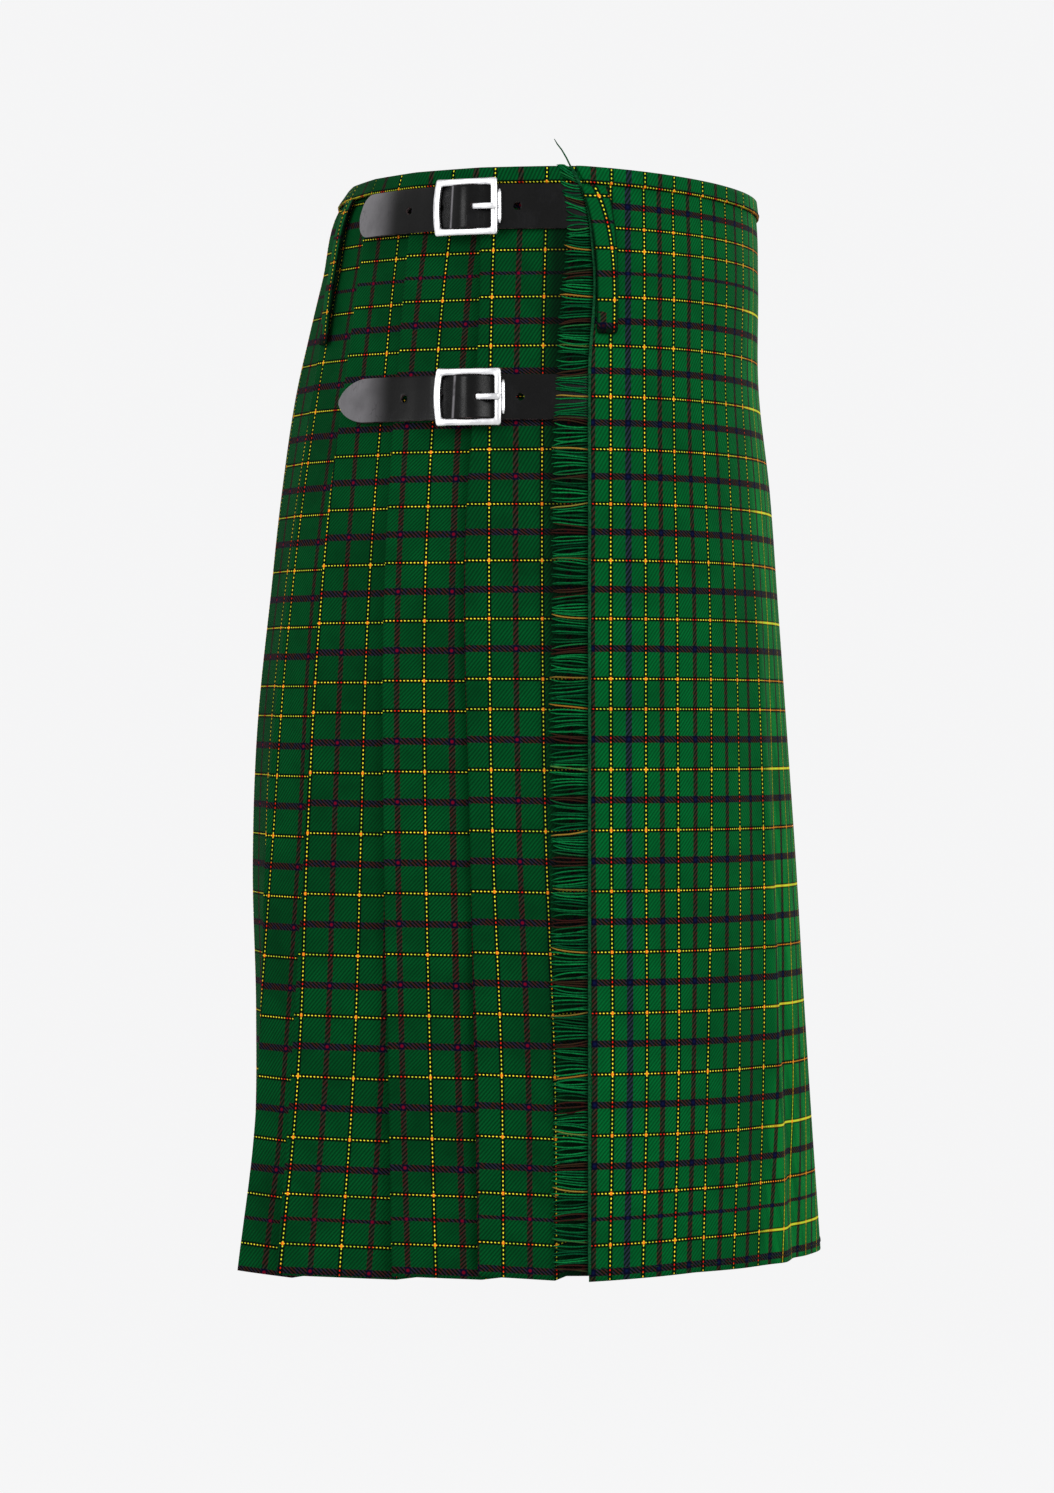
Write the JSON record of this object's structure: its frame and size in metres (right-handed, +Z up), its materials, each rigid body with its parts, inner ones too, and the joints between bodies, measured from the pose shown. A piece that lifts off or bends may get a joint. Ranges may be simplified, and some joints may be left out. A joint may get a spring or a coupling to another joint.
{
  "type": "scottish kilt",
  "caption": "Worn, hollow knee-length tartan kilt with a fringed over apron, knife pleats round the back, belt loops and buckled leather straps.",
  "frame": {"origin": "centre of the waist at the height of the waist straps, where the wearer holds the kilt up", "axes": "+Z up along the body; the wearer faces -Y, so the wearer's right hip with the fringe and the two straps is at -X and the pleats are at +Y"},
  "size_m": [0.4188, 0.3254, 0.6035],
  "materials": {
    "tartan_wool": "green twill wool with a check of thin yellow dotted lines and dark red and navy bands, matte",
    "fringe_wool": "loose wool threads in the colours of the check, matte",
    "black_leather": "black grained leather, satin",
    "satin_metal": "bright satin nickel plate"
  },
  "bodies": {
    "root": {"over_apron": "tartan_wool", "under_apron": "tartan_wool", "pleated_back": "tartan_wool", "waistband_apron": "tartan_wool", "waistband_back": "tartan_wool", "belt_loop_front_right": "tartan_wool", "belt_loop_front_left": "tartan_wool", "belt_loop_back_right": "tartan_wool", "belt_loop_back_left": "tartan_wool", "fringe": "fringe_wool", "strap_right_waist": "black_leather", "chape_right_waist": "black_leather", "buckle_right_waist": "satin_metal", "tongue_right_waist": "satin_metal", "roller_right_waist": "satin_metal", "strap_right_hip": "black_leather", "chape_right_hip": "black_leather", "buckle_right_hip": "satin_metal", "tongue_right_hip": "satin_metal", "roller_right_hip": "satin_metal", "strap_left_waist": "black_leather", "chape_left_waist": "black_leather", "buckle_left_waist": "satin_metal", "tongue_left_waist": "satin_metal", "roller_left_waist": "satin_metal"}
  },
  "joints": []
}
